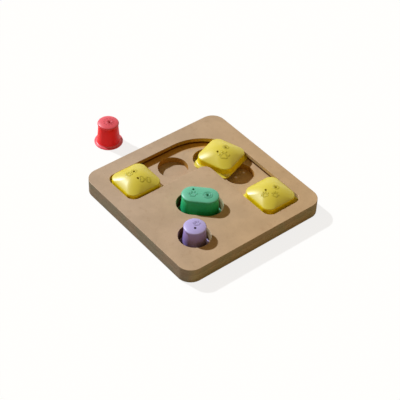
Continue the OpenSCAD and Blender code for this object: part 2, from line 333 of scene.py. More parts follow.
def board_face(name, rgb, warmer_face, track=None):
    """Sanded fibreboard: fine pressed fibres, soft blotches, stains and dark flecks,
    rims made lighter, partly for wear and partly as a painted highlight, and a shift from
    a cooler to a warmer colour from one corner to the one across.

    With the board's sizes as track, it is the floor of the track, with painted shade: dark
    in the undercut and a warm brown band along the left leg's outer wall."""
    material, nodes = new_material(name)
    at = nodes.add("ShaderNodeTexCoord", out="Object")
    across = nodes.vector("DOT_PRODUCT", {0: at, 1: WARM_SHIFT_WAY}, "Value")
    fibres = nodes.noise(at, 850, 4, 0.65)
    blotches = nodes.noise(at, 26, 4, 0.6)
    drift = nodes.noise(at, 7, 2, 0.5)
    stains = nodes.spread(nodes.noise(at, 75, 3, 0.6), 0.58, 0.70)
    flecks = nodes.spread(nodes.noise(at, 420, 2, 0.5), 0.66, 0.74)
    rim_wear_and_highlight = nodes.carried("rim")
    lift = 1.07   # makes up for what the patterns darken
    base = nodes.mix(nodes.spread(across, -WARM_SHIFT_REACH, WARM_SHIFT_REACH), shade(rgb, lift),
                     shade(warmer_face, lift))
    base = nodes.tint(nodes.spread(blotches, 0.3, 0.7), base, 0.88)
    base = nodes.tint(nodes.spread(drift, 0.35, 0.65, 0.0, 0.35), base, (0.96, 0.93, 0.86))
    base = nodes.tint(stains * 0.3, base, (0.80, 0.72, 0.67))
    base = nodes.tint(nodes.spread(fibres, 0.25, 0.75, 0.0, 0.3), base, 0.86)
    base = nodes.tint(flecks * 0.45, base, 0.55)
    # rims lighter, partly for wear and partly as a painted highlight along the eased edges
    base = nodes.tint(rim_wear_and_highlight * 0.1, base, 1.1)
    if track:
        base = painted_track_shade(nodes, at, base, track)
    close_material(nodes, {
        "Base Color": base,
        "Roughness": 0.5 + (fibres - 0.5) * 0.25 - rim_wear_and_highlight * 0.08,
        "Specular IOR Level": 0.12,
        "Normal": bump(nodes, fibres + blotches * 0.5, 0.25, 0.00025)})
    return material


# the painted shade along the left wall begins and is full at these distances from it, and
# the painted shade of the undercut at these from the deck's edge
WALL_SHADE_FROM, WALL_SHADE_TO = 15 * MM, 9 * MM
SHADE_FROM, SHADE_TO = -0.4 * MM, 1 * MM


def painted_track_shade(nodes, at, base, s):
    """Paints shade into a colour: a warm brown band along the left leg's outer wall, and a
    darkening in the undercut, by its distance from the track's centreline."""
    half = s.track_w / 2
    bend = s.side / 2 - s.margin - half - s.bend_r
    # folded so that X grows past the bend to the left, and Y past it to the back
    folded = nodes.vector("MULTIPLY_ADD", {0: at, 1: (-1, 1, 0), 2: (-bend, -bend, 0)})
    outward = nodes.vector("MAXIMUM", {0: folded, 1: (0, 0, 0)})
    reach = nodes.vector("LENGTH", {0: outward}, "Value") - s.bend_r
    leftward = nodes.axis(nodes.vector("NORMALIZE", {0: outward}), "X")
    # painted shade: a warm brown band along the left leg's outer wall, fading round the bend
    wall_shade = (nodes.spread(reach, half - WALL_SHADE_FROM, half - WALL_SHADE_TO)
             * nodes.spread(leftward, 0.1, 0.8))
    # painted shade: darker in the undercut
    under = nodes.spread(abs(reach), half + SHADE_FROM, half + SHADE_TO)
    base = nodes.tint(wall_shade * 0.9, base, (1.15, 0.84, 0.25))
    return nodes.tint(under, base, (0.45, 0.27, 0.12))


LAYERING = (90, 90, 900)   # the fibres' noise, in cells to a metre each way
SKIN = 0.9 * MM            # depth of the denser layer at each face of a sheet


def board_cut(name, rgb, end_rgb, low, high):
    """The cut edge of a sheet between two heights: layered fibres, denser and darker
    near the sheet's two faces, with greenish grey patches and scattered open pores.
    Edges that face front and back have a colour of their own: with the left and right
    ones, these are painted light and shade for how the light falls on each side."""
    material, nodes = new_material(name)
    at = nodes.add("ShaderNodeTexCoord", out="Object")
    normal = nodes.add("ShaderNodeNewGeometry", out="Normal")
    ahead = abs(nodes.axis(normal, "Y"))
    layers = nodes.noise(nodes.vector("MULTIPLY", {0: at, 1: LAYERING}), 1.0, 4, 0.6)
    pores = nodes.spread(nodes.noise(at, 520, 3, 0.6), 0.58, 0.70)
    patches = nodes.noise(at, 38, 3, 0.55)
    height = nodes.axis(at, "Z")
    inside = (nodes.spread(height, low, low + SKIN)
              * nodes.spread(height, high - SKIN, high, 1.0, 0.0))
    lift = 1.08   # makes up for what the patterns darken
    # the colour picked by which way the edge faces: lit and shaded copies, painted light and
    # shade
    base = nodes.mix(nodes.spread(ahead, 0.3, 0.9), shade(rgb, lift),
                     shade(end_rgb, lift))
    base = nodes.tint(1 - inside, base, 0.8)
    base = nodes.tint(nodes.spread(layers, 0.3, 0.7, 0.0, 0.55), base, 0.76)
    base = nodes.tint(nodes.spread(patches, 0.42, 0.6, 0.0, 0.8), base, (0.84, 0.98, 1.0))
    base = nodes.tint(pores * 0.5, base, 0.5)
    close_material(nodes, {
        "Base Color": base,
        "Roughness": 0.72 + (layers - 0.5) * 0.3,
        "Specular IOR Level": 0.08,
        "Normal": bump(nodes, layers - pores * 0.4, 0.45, 0.0004)})
    return material


def plastic(name, rgb, glowing_wall_rgb):
    """Moulded plastic with a soft gloss, duller on its upright walls and its marks: a
    painted glow of brighter, deeper colour on the upright walls, faint flow clouds, fine
    orange peel, scuffs on the raised marks, painted shade in their creases and in the scent
    holes, and a few dust specks."""
    material, nodes = new_material(name)
    at = nodes.add("ShaderNodeTexCoord", out="Object")
    clouds = nodes.noise(at, 45, 3, 0.5)
    peel = nodes.noise(at, 1400, 2, 0.5)
    smudge = nodes.noise(at, 120, 4, 0.6)
    specks = nodes.spread(nodes.noise(at, 900, 1, 0.5), 0.76, 0.80)
    raised, crease = nodes.carried("raised"), nodes.carried("crease")
    level = abs(nodes.axis(nodes.add("ShaderNodeNewGeometry", out="Normal"), "Z"))
    upright = nodes.spread(level, 0.1, 0.75, 1.0, 0.0)
    # painted glow: upright walls take a brighter, deeper colour that stands in for light
    # shining through the thin plastic and thrown onto it
    base = nodes.mix(upright, shade(rgb, 1.0), shade(glowing_wall_rgb, 1.0))
    base = nodes.mix(nodes.spread(clouds, 0.3, 0.7, 0.0, 0.06), base, shade(rgb, 0.6))
    base = nodes.mix(raised * 0.35, base, shade(rgb, 1.12))
    # painted shade in the creases at the marks' feet and on the scent holes' walls
    base = nodes.mix(crease * 0.6, base, shade(rgb, 0.35))
    base = nodes.mix(specks * 0.3, base, shade(rgb, 0.7))
    close_material(nodes, {
        "Base Color": base,
        "Roughness": 0.45 + (smudge - 0.5) * 0.16 + raised * 0.06,
        "Specular IOR Level": 0.13,
        "Coat Weight": 0.75 - upright * 0.55 - (raised + crease) * 0.5,
        "Coat Roughness": 0.36,
        "Normal": bump(nodes, peel, 0.12, 0.00006)})
    return material


def rubber(name, rgb):
    """Matt rubber, a little dusty."""
    material, nodes = new_material(name)
    at = nodes.add("ShaderNodeTexCoord", out="Object")
    grain = nodes.noise(at, 1100, 3, 0.6)
    dust = nodes.noise(at, 150, 4, 0.6)
    base = nodes.mix(nodes.spread(dust, 0.45, 0.75, 0.0, 0.5), shade(rgb, 1.0),
                     shade(rgb, 2.2))
    close_material(nodes, {
        "Base Color": base,
        "Roughness": 0.75 + (dust - 0.5) * 0.2,
        "Normal": bump(nodes, grain, 0.3, 0.0001)})
    return material


def relief_tree():
    """Lifts the skin of a moulding along its lines and round its dots.

    Inputs: the moulding, the object that holds the lines, the object that holds the
    dots and each one's radius, the marks' sizes, the height above which they show, and
    the piece's material. Marks are projected along Z.
    """
    tree = bpy.data.node_groups.get("Raised marks")
    if tree:
        return tree
    tree = bpy.data.node_groups.new("Raised marks", "GeometryNodeTree")
    sockets = tree.interface
    for name, kind in (("Moulding", "Geometry"), ("Lines", "Object"), ("Dots", "Object"),
                       ("Line width", "Float"), ("Height", "Float"), ("Ramp", "Float"),
                       ("Above", "Float"), ("Finish", "Material")):
        sockets.new_socket(name, in_out="INPUT", socket_type=f"NodeSocket{kind}")
    sockets.new_socket("Piece", in_out="OUTPUT", socket_type="NodeSocketGeometry")

    nodes = Nodes(tree)

    def given(name):
        return nodes.add("NodeGroupInput", out=name)

    def guide(name):
        return nodes.add("GeometryNodeObjectInfo", None, {"Object": given(name)},
                         "Geometry")

    def away(geometry, element):
        """The distance to a helper, and a metre where the helper is empty."""
        near = nodes.add("GeometryNodeProximity", {"target_element": element},
                         {0: geometry, "Sample Position": flat}, "Distance")
        found = Wire(nodes, near.socket.node.outputs["Is Valid"])
        return near + (1 - found)

    place = nodes.add("GeometryNodeInputPosition")
    normal = nodes.add("GeometryNodeInputNormal")
    flat = nodes.vector("MULTIPLY", {0: place, 1: (1, 1, 0)})
    lines, dots = guide("Lines"), guide("Dots")
    nearest = nodes.add("GeometryNodeSampleNearest", None, {0: dots, 1: flat})
    radius = nodes.add("GeometryNodeInputNamedAttribute", None, {"Name": "radius"})
    reach = nodes.add("GeometryNodeSampleIndex", None,
                      {0: dots, 1: radius, "Index": nearest})
    on_line = given("Line width") * 0.5 - away(lines, "EDGES")
    on_dot = reach - away(dots, "POINTS")
    inside = on_line.larger(on_dot)
    level = nodes.spread(inside, 0.0, given("Ramp"))
    top = (nodes.axis(place, "Z") > given("Above")) * (nodes.axis(normal, "Z") > 0.3)
    mask = level * top
    # a band just outside each mark, which the plastic darkens as painted shade
    crease = nodes.spread(inside, given("Ramp") * -1.2, 0.0) * (1 - level) * top
    lift = nodes.vector("SCALE", {0: normal, "Scale": mask * given("Height")})
    marked = given("Moulding")
    for name, value in (("raised", mask), ("crease", crease)):
        marked = nodes.add("GeometryNodeStoreNamedAttribute", None,
                           {0: marked, "Name": name, "Value": value})
    lifted = nodes.add("GeometryNodeSetPosition", None, {0: marked, "Offset": lift})
    whole = nodes.add("GeometryNodeRealizeInstances", None, {0: lifted})
    done = nodes.add("GeometryNodeSetMaterial", None,
                     {0: whole, "Material": given("Finish")})
    nodes.add("NodeGroupOutput", None, {0: done})
    return tree


# ---- outlines and solids

ARC_STEP = 4.5   # degrees of arc between two points of an outline


def rounded_plate(x_half, y_half, r):
    """A plate's four corner arcs. An arc is its centre, radius, start and end."""
    x, y = x_half - r, y_half - r
    return [(x, y, r, 0, 90), (-x, y, r, 90, 180), (-x, -y, r, 180, 270),
            (x, -y, r, 270, 360)]


def round_slot(x, y, r, span=0.0, turned=0.0):
    """A slot's two end arcs; with no span, a circle."""
    dx = span / 2 * math.cos(turned)
    dy = span / 2 * math.sin(turned)
    a = math.degrees(turned)
    return [(x + dx, y + dy, r, a - 90, a + 90), (x - dx, y - dy, r, a + 90, a + 270)]


def trace(arcs, grow=0.0, z=0.0, between=1):
    """Points along an outline grown by grow, at a height: straight stretches join the
    arcs, and each is split into as many parts as between says."""
    points = []
    for x, y, r, start, end in arcs:
        radius = r + grow if end > start else r - grow
        steps = max(2, round(abs(end - start) / ARC_STEP))
        angles = np.radians(np.linspace(start, end, steps + 1))
        arc = np.stack([x + radius * np.cos(angles), y + radius * np.sin(angles)], 1)
        if points and np.hypot(*(arc[0] - points[-1])) < 1e-7:
            arc = arc[1:]
        elif points:
            points += list(np.linspace(points[-1], arc[0], between + 1)[1:-1])
        points += list(arc)
    if np.hypot(*(points[0] - points[-1])) < 1e-7:
        points.pop()
    else:
        points += list(np.linspace(points[-1], points[0], between + 1)[1:-1])
    return np.column_stack([np.array(points), np.full(len(points), z)])


def loft(bm, rings, finish=0):
    """Skins a row of rings in one of the mesh's materials, and returns each ring's
    vertices."""
    rows = [[bm.verts.new(p) for p in ring] for ring in rings]
    for low, high in zip(rows, rows[1:]):
        for i, vert in enumerate(low):
            j = (i + 1) % len(low)
            face = bm.faces.new((vert, low[j], high[j], high[i]))
            face.material_index = finish
    return rows


def close_ends(bm, rows):
    """Flat faces over the first and the last ring."""
    bm.faces.new(rows[0])
    bm.faces.new(rows[-1])


def fill_between(bm, rows):
    """Flat faces inside the first ring and outside all the others."""
    edges = []
    for row in rows:
        for i, vert in enumerate(row):
            edges.append(bm.edges.get((vert, row[(i + 1) % len(row)])))
    bmesh.ops.triangle_fill(bm, edges=edges, use_beauty=True, normal=(0, 0, 1))


def to_mesh(bm, name):
    """Makes a smooth mesh of a bmesh, its faces pointing outwards."""
    bmesh.ops.recalc_face_normals(bm, faces=bm.faces)
    mesh = bpy.data.meshes.new(name)
    bm.to_mesh(mesh)
    bm.free()
    mesh.shade_smooth()
    return mesh


def shell(name, rings):
    """A closed solid from a row of rings, with a flat face at both ends."""
    bm = bmesh.new()
    close_ends(bm, loft(bm, rings))
    return to_mesh(bm, name)


def new_object(name, mesh):
    obj = bpy.data.objects.new(name, mesh)
    bpy.context.scene.collection.objects.link(obj)
    return obj


def bake(obj):
    """Makes the object's modifiers part of a plain mesh."""
    bpy.context.view_layer.update()
    graph = bpy.context.evaluated_depsgraph_get()
    mesh = bpy.data.meshes.new_from_object(obj.evaluated_get(graph))
    obj.modifiers.clear()
    obj.data = mesh


def seat(obj, body, node):
    """Puts a finished piece on its body, in place of its plain node, and ends its
    smooth shading at its real edges."""
    obj.data.set_sharp_from_angle(angle=SHARP_EDGE)
    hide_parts(node)
    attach(obj, body)


def arc_points(x, z, r, start, end, steps):
    """(reach, height) pairs along an arc of a profile."""
    angles = np.radians(np.linspace(start, end, steps + 1))
    return [(x + r * math.cos(a), z + r * math.sin(a)) for a in angles]


def middle(node):
    """The centre of a node in plan and the height of its underside."""
    low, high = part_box(node)
    return (low.x + high.x) / 2, (low.y + high.y) / 2, low.z


# ---- board


def track_outline(s, grow):
    """The track's arcs, grown all round: two end corners, the inner bend, the other
    end's two corners and the outer bend."""
    half = s.track_w / 2 + grow
    line = s.side / 2 - s.margin - s.track_w / 2
    near = s.side / 2 - s.near_rim + grow
    far = s.side / 2 - s.far_rim + grow
    r = s.end_r + grow
    bend = line - s.bend_r
    return [
        (r - line - half, r - near, r, 180, 270),
        (half - line - r, r - near, r, 270, 360),
        (-bend, bend, s.bend_r - half, 180, 90),
        (far - r, line - half + r, r, 270, 360),
        (far - r, line + half - r, r, 0, 90),
        (-bend, bend, s.bend_r + half, 90, 180)]


def cup_holes(s, cup):
    """The round and the long hole, each on its cup's centre."""
    outlines = []
    for node, span in (("cup_purple", 0.0), ("cup_green", cup.long_span)):
        x, y, _ = middle(node)
        outlines.append(round_slot(x, y, s.hole_r, span, cup.long_turn))
    return outlines


def pits(s):
    """Circles of the treat pits: two along each leg and one in the bend."""
    line = s.side / 2 - s.margin - s.track_w / 2
    bend = line - s.bend_r
    corner = bend + s.corner_reach * math.cos(math.radians(45))
    centres = [(-corner, corner)]
    for along in (-line, s.pit_pitch - line):
        centres += [(-line, along), (-along, line)]
    return [round_slot(x, y, s.pit_r) for x, y in centres]


# ease: radius of the edges; tone: lightness of the cut edges, and end_tone of those that
# face front and back; routed_end, hole_end: colours of the walls that face that way. The
# tones and these colours are painted light and shade, set sheet by sheet for how the light
# falls on each.
Sheet = namedtuple("Sheet", "name node cuts holes ease_low ease_high face tone end_tone "
                            "routed_end hole_end")

FACE, OUTER, ROUTED, HOLE = range(4)   # a sheet's materials, in the order they are given
EASE_STEPS = 5           # steps of each rounded edge
FLAT_STRIP = 0.4 * MM    # strip of face beside each rounded edge
RIM_MARK_FROM = 0.3 * MM     # upper edges with a larger radius are marked as rim, for wear and a painted highlight
LEVEL_FROM = 0.2         # a face whose normal rises this much isn't an edge


def sheet_mesh(sheet, outer, low, high):
    """A flat sheet between two heights, its lower and upper edges rounded all round."""
    ease_low, ease_high = sheet.ease_low, sheet.ease_high
    profile = [(ease_low + FLAT_STRIP, low)]
    profile += [(ease_low - x, z) for x, z in
                arc_points(0, low + ease_low, ease_low, 270, 360, EASE_STEPS)]
    rim_from = len(profile)
    profile += [(ease_high - x, z) for x, z in
                arc_points(0, high - ease_high, ease_high, 0, 90, EASE_STEPS)]
    rim_to = len(profile)
    profile.append((ease_high + FLAT_STRIP, high))
    bm = bmesh.new()
    rim = bm.verts.layers.float.new("rim")
    lows, highs = [], []
    outlines = [(outer, OUTER, -1)] + [(cut, ROUTED, 1) for cut in sheet.cuts]
    outlines += [(hole, HOLE, 1) for hole in sheet.holes]
    for arcs, edge, side in outlines:
        rows = loft(bm, [trace(arcs, side * inset, z) for inset, z in profile], edge)
        if ease_high > RIM_MARK_FROM:
            for row in rows[rim_from:rim_to]:
                for vert in row:
                    vert[rim] = 1.0
        lows.append(rows[0])
        highs.append(rows[-1])
    fill_between(bm, lows)
    fill_between(bm, highs)
    mesh = to_mesh(bm, sheet.name)
    for polygon in mesh.polygons:
        if abs(polygon.normal.z) >= LEVEL_FROM:
            polygon.material_index = FACE
    return mesh


class FEEDER_OT_board(bpy.types.Operator):
    """Build the four sheets of the board"""
    bl_idname = "feeder.board"
    bl_label = "Board"
    bl_options = {"REGISTER", "UNDO"}

    def execute(self, context):
        feeder = context.scene.feeder
        s, finish = feeder.board, feeder.finish
        outer = rounded_plate(s.side / 2, s.side / 2, s.corner_r)
        holes = cup_holes(s, feeder.cup)
        face = board_face("fibreboard_face", finish.deck, finish.warmer_face)
        floor = board_face("fibreboard_floor", finish.deck, finish.warmer_face, s)
        # each sheet's tones and wall colours are painted light and shade as well, making its
        # edges lighter or darker side by side as the light falls on them
        for sheet in (
                Sheet("deck", "deck_panel", [track_outline(s, 0)], holes, s.joint, s.rim,
                      face, 0.92, 1.0, finish.routed_end, finish.hole_end),
                Sheet("guide_sheet", "guide_panel", [track_outline(s, s.undercut)], holes,
                      s.joint, s.joint, face, 0.95, 0.96, finish.routed_end, finish.cut),
                Sheet("pit_sheet", "pit_panel", pits(s), holes, s.joint, s.joint,
                      floor, 1.1, 0.98, finish.routed, finish.cut),
                Sheet("base_sheet", "base_panel", [], [], s.base_rim, s.joint,
                      face, 1.08, 0.92, finish.routed, finish.cut)):
            low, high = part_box(sheet.node)
            mesh = sheet_mesh(sheet, outer, low.z, high.z)
            mesh.materials.append(sheet.face)
            for edge, rgb, end_rgb in (("outer", finish.cut, finish.cut_end),
                                       ("routed", finish.routed, sheet.routed_end),
                                       ("hole", finish.hole, sheet.hole_end)):
                mesh.materials.append(board_cut(
                    f"fibreboard_{edge}_{sheet.name}", [c * sheet.tone for c in rgb],
                    [c * sheet.end_tone for c in end_rgb], low.z, high.z))
            open_face = sheet.node in ("deck_panel", "pit_panel")
            seat(new_object(sheet.name, mesh), "board", sheet.node)
        return {"FINISHED"}


# ---- mouldings


def guide_object(name, points, edges, radii=None):
    """A hidden helper that holds the lines or the dots of a relief."""
    mesh = bpy.data.meshes.new(name)
    mesh.from_pydata([(x, y, 0) for x, y in points], edges, [])
    if radii:
        mesh.attributes.new("radius", "FLOAT", "POINT").data.foreach_set("value", radii)
    return new_object(name, mesh)


def ring(x, y, r, count=48):
    """Points round a circle."""
    angles = np.linspace(0, 2 * math.pi, count, endpoint=False)
    return [(x + r * math.cos(a), y + r * math.sin(a)) for a in angles]


def moved(points, x, y, angle):
    """Points, or dots with their radii, turned about the origin and moved to a place."""
    c, s = math.cos(angle), math.sin(angle)
    return [(x + p[0] * c - p[1] * s, y + p[0] * s + p[1] * c, *p[2:]) for p in points]


def outline(arcs, size, place):
    """A closed line along arcs that are given in units of size, moved to a place."""
    return moved([(x * size, y * size) for x, y, _ in trace(arcs)], *place)


def bone(size, *place):
    """The outline of a bone, about ten sizes long."""
    return outline([(3.2, 1.3, 1.7, 205, -55), (3.2, -1.3, 1.7, 55, -205),
                    (-3.2, -1.3, 1.7, 25, -235), (-3.2, 1.3, 1.7, 235, -25)], size, place)


def paw(size, *place):
    """A paw print, about ten sizes wide: the outline of its pad and four toes."""
    pad = outline([(0, 0.3, 1.6, 30, 150), (-1.7, -1.9, 1.4, 150, 270),
                   (1.7, -1.9, 1.4, 270, 390)], size, place)
    toes = [(x * size, y * size, 1.15 * size)
            for x, y in ((-4.2, 0.6), (-1.7, 3.7), (1.7, 3.7), (4.2, 0.6))]
    return pad, moved(toes, *place)


def dotted(points):
    """Small round dots at points."""
    return [(x, y, 0.9 * MM) for x, y in points]


def design(lines, dots, *paws):
    """The lines and the dots of a relief, with those of its paw prints."""
    for pad, toes in paws:
        lines, dots = lines + [pad], dots + toes
    return lines, dots


def scent_cutter(holes, r, ease, top, depth):
    """Drills with a flared top, one for each hole, joined in one mesh."""
    bm = bmesh.new()
    flare = 1.5 * MM
    profile = [(r, top - depth), (r, top - ease), (r + ease, top),
               (r + ease + flare, top + flare)]
    for x, y in holes:
        close_ends(bm, loft(bm, [trace(round_slot(x, y, reach), 0, z)
                                 for reach, z in profile]))
    drill = new_object("scent_drill", to_mesh(bm, "scent_drill"))
    # every point of the drill carries the creases' painted shade, so the scent holes' walls
    # come out dark
    wall = drill.data.attributes.new("crease", "FLOAT", "POINT")
    wall.data.foreach_set("value", [1.0] * len(drill.data.vertices))
    return drill


def mould(name, rings, marks, holes, relief, material, top, depth, above):
    """A plastic piece with its raised marks and scent holes, still at the origin. Its
    holes have their eased edge at top and go down by depth from there, and its marks
    are left out below above."""
    lines, dots = marks
    obj = new_object(name, shell(name, rings))
    points, edges = [], []
    for line in lines:
        start = len(points)
        points += line
        edges += [(start + i, start + (i + 1) % len(line)) for i in range(len(line))]
    paths = guide_object("relief_lines", points, edges)
    spots = guide_object("relief_dots", [d[:2] for d in dots], [], [d[2] for d in dots])
    drill = scent_cutter(holes, relief.hole_r, relief.hole_ease, top, depth)
    raise_marks = obj.modifiers.new("Marks", "NODES")
    raise_marks.node_group = relief_tree()
    given = {"Lines": paths, "Dots": spots, "Line width": relief.line_w,
             "Height": relief.height, "Ramp": relief.ramp, "Above": above,
             "Finish": material}
    for item in raise_marks.node_group.interface.items_tree:
        if item.in_out == "INPUT" and item.name in given:
            raise_marks[item.identifier] = given[item.name]
    cut = obj.modifiers.new("Scent holes", "BOOLEAN")
    cut.operation = "DIFFERENCE"
    cut.solver = "MANIFOLD"
    cut.object = drill
    bake(obj)
    for helper in (paths, spots, drill):
        bpy.data.objects.remove(helper)
    return obj


def place_piece(obj, node, angle):
    """Turns a piece's mesh and moves it to where its node stands."""
    x, y, z = middle(node)
    obj.data.transform(Matrix.Translation((x, y, z)) @ Matrix.Rotation(angle, 4, "Z"))


# ---- caps

SIDE_PARTS = 22    # parts of each straight side of a cap's ring
DOME_POWER = 2.2   # fall of a cap's dome: the larger, the flatter its middle
DOME_TURN = 3.0    # how fast its level rings grow round towards the crown


def cap_ring(half, core, z, clamp=None):
    """One level ring of a cap. clamp cuts it short along the track."""
    ring = trace(rounded_plate(half, half, half - core), 0, z, SIDE_PARTS)
    if clamp:
        ring[:, 0] = np.clip(ring[:, 0], -clamp, clamp)
    return ring


def dome_rings(half, core, z, h, sizes):
    """Rings of a dome, each a share of the shoulder's size, growing rounder upwards."""
    least = 0.02 * MM   # straight stretch that is left at the crown
    return [cap_ring(half * size, core * size ** DOME_TURN + least * (1 - size),
                     z + h * (1 - size ** DOME_POWER)) for size in sizes]


def cap_rings(s, h, spacing):
    """All rings of a cap: down its outside, round its flange and up its hollow."""
    core = s.half - s.corner_r
    shoulder = h - s.pillow_h
    # the shoulder's rounding starts where it has the dome's own slope
    slope = math.atan(DOME_POWER * s.pillow_h / s.half)
    rim = 1 - s.shoulder_r * (1 - math.sin(slope)) / s.half
    round_z = shoulder + s.pillow_h * (1 - rim ** DOME_POWER) - s.shoulder_r * math.cos(slope)
    fine = 0.62 * s.half   # the rings are fine as far out as the marks reach
    sizes = list(np.arange(0.3 * MM, fine, spacing) / s.half)
    sizes += list(np.linspace(fine / s.half, rim, 14))
    outside = dome_rings(s.half, core, shoulder, s.pillow_h, sizes)
    outside += [cap_ring(s.half + x, core, z) for x, z in
                arc_points(-s.shoulder_r, round_z, s.shoulder_r,
                           90 - math.degrees(slope), 0, 5)[1:]]
    foot = s.flange_t + s.blend_r
    outside += [cap_ring(s.half, core, z) for z in np.linspace(round_z, foot, 5)[1:-1]]
    clamp = s.flange_x - s.edge - 0.15 * MM   # just inside the flange's rounded edge
    outside += [cap_ring(s.half + x, core, z, clamp) for x, z in
                arc_points(s.blend_r, foot, s.blend_r, 180, 270, 9)]
    for x, z in (arc_points(-s.edge, s.flange_t - s.edge, s.edge, 90, 0, 3)
                 + arc_points(-s.edge, s.edge, s.edge, 0, -90, 3)):
        plate = rounded_plate(s.flange_x + x, s.flange_y + x, s.flange_r + x)
        outside.append(trace(plate, 0, z, SIDE_PARTS))
    inner = s.half - s.wall
    inside = [cap_ring(inner, core, z) for z in np.linspace(0, shoulder, 4)[:-1]]
    inside += dome_rings(inner, core, shoulder, s.pillow_h - s.wall,
                         np.linspace(1, 0.02, 22))
    return outside + inside


class FEEDER_OT_caps(bpy.types.Operator):
    """Build the three slider caps"""
    bl_idname = "feeder.caps"
    bl_label = "Slider caps"
    bl_options = {"REGISTER", "UNDO"}

    def execute(self, context):
        feeder = context.scene.feeder
        s, relief = feeder.cap, feeder.relief
        h = CAP_HIGH.z - CAP_LOW.z
        reach = s.hole_pitch / 2
        along = Vector((math.cos(s.hole_turn), math.sin(s.hole_turn)))
        holes = [tuple(along * side * reach) for side in (-1, 1)]
        finish = feeder.finish
        material = plastic("moulded_yellow", finish.yellow, finish.yellow_wall)
        small = 1.3 * MM
        circle = ring(*holes[1], 5 * MM)
        for side, angle, marks in (
                ("left", s.left_turn, design(
                    [bone(1.9 * MM, -7 * MM, 17 * MM, 2.6)],
                    dotted(ring(*holes[0], 5 * MM, 9)),
                    paw(small, 9 * MM, -9 * MM, 2.2))),
                ("middle", s.middle_turn, design(
                    [circle], [], paw(2 * MM, 11 * MM, -10 * MM, 0.55))),
                ("right", 0.0, design(
                    [circle], [], paw(small, 15 * MM, -3 * MM, 0.6),
                    paw(small, 4 * MM, -17 * MM, 1.1)))):
            node = f"slider_{side}"
            obj = mould(f"cap_{side}", cap_rings(s, h, relief.mesh), marks, holes, relief,
                        material, top=h - 0.9 * MM, depth=8 * MM, above=h - s.pillow_h)
            place_piece(obj, node, angle)
            seat(obj, f"{side}_cap", node)
        return {"FINISHED"}


# ---- cups

HEAD_POWER = 3.2   # fall of a cup's domed top: the larger, the flatter its middle


def cup_rings(s, h, span, lift, spacing):
    """All rings of a cup: from the middle of its head out, down its body, round its
    foot and up its hollow. Its crown is kept down by lift, the height of its marks."""
    rim_z = h - s.dome
    head_z = rim_z - s.head_h
    edge = s.head_edge
    foot_edge = s.foot_t / 2
    slope = (s.neck_r - s.base_r) / (head_z - s.foot_t)
    blend_x = s.base_r + slope * s.blend_r
    rise = s.dome - lift
    # the dome ends where the rounding of its edge has the same slope
    slope_end = HEAD_POWER * rise / s.head_r
    tilt = math.atan(slope_end)
    dome_half = s.head_r - edge * (1 - math.sin(tilt))
    crown = h - lift
    profile = [(r, crown - rise * (r / s.head_r) ** HEAD_POWER)
               for r in np.linspace(spacing / 2, dome_half, int(dome_half / spacing))]
    edge_z = profile[-1][1] - edge * math.cos(tilt)
    profile += arc_points(s.head_r - edge, edge_z, edge, 90 - math.degrees(tilt), 0, 6)[1:]
    # the head's lower edge ends a little short of level, where it meets the body
    profile += arc_points(s.head_r - edge, head_z + edge, edge, 0, -86, 6)
    body_top = profile[-1][1]
    blend_z = s.foot_t + s.blend_r
    profile += [(s.base_r + slope * (z - s.foot_t), z)
                for z in np.linspace(body_top, blend_z, 8)[1:-1]]
    profile += arc_points(blend_x + s.blend_r, blend_z, s.blend_r, 180, 270, 8)
    profile += arc_points(s.foot_r - foot_edge, foot_edge, foot_edge, 90, -90, 8)
    inner_base = s.base_r - s.wall
    inner_neck = s.neck_r - s.wall
    profile += [(inner_base, 0), (inner_base, s.foot_t), (inner_neck, rim_z - s.wall)]
    profile += [(r, h - s.wall - s.dome * r / inner_neck - lift)
                for r in np.linspace(inner_neck, spacing, 8)[1:]]
    between = 1 if span == 0 else max(1, int(span / (1.2 * spacing)))
    return [trace(round_slot(0, 0, r, span), 0, z, between) for r, z in profile]


class FEEDER_OT_cups(bpy.types.Operator):
    """Build the three lift-out cups"""
    bl_idname = "feeder.cups"
    bl_label = "Cups"
    bl_options = {"REGISTER", "UNDO"}

    def execute(self, context):
        feeder = context.scene.feeder
        s, relief, finish = feeder.cup, feeder.relief, feeder.finish
        h = CUP_HIGH.z - CUP_LOW.z
        end = s.long_span / 2
        for hue, span, holes, marks in (
                ("purple", 0.0, [(5.3 * MM, -3.7 * MM)],
                 design([], [], paw(1.3 * MM, -2 * MM, 5 * MM, 0.87))),
                ("green", s.long_span, [(-end, 9.5 * MM), (end, -2 * MM)],
                 design([ring(end, -2 * MM, r * MM) for r in (4.4, 7.6)], [],
                        paw(1.6 * MM, -end, -3 * MM, 0.0))),
                ("red", 0.0, [(2.9 * MM, 0.8 * MM)],
                 design([ring(2.9 * MM, 0.8 * MM, 4.6 * MM)],
                        dotted(ring(1.5 * MM, 0.4 * MM, 9 * MM, 11))))):
            node = f"cup_{hue}"
            material = plastic(f"moulded_{hue}", getattr(finish, hue),
                               getattr(finish, f"{hue}_wall"))
            rings = cup_rings(s, h, span, relief.height, relief.mesh)
            obj = mould(f"{node}_moulding", rings, marks, holes, relief, material,
                        top=h - MM, depth=6 * MM, above=h - s.dome - MM)
            place_piece(obj, node, s.long_turn if span else 0.0)
            seat(obj, f"{hue}_cup", node)
        return {"FINISHED"}


# ---- feet


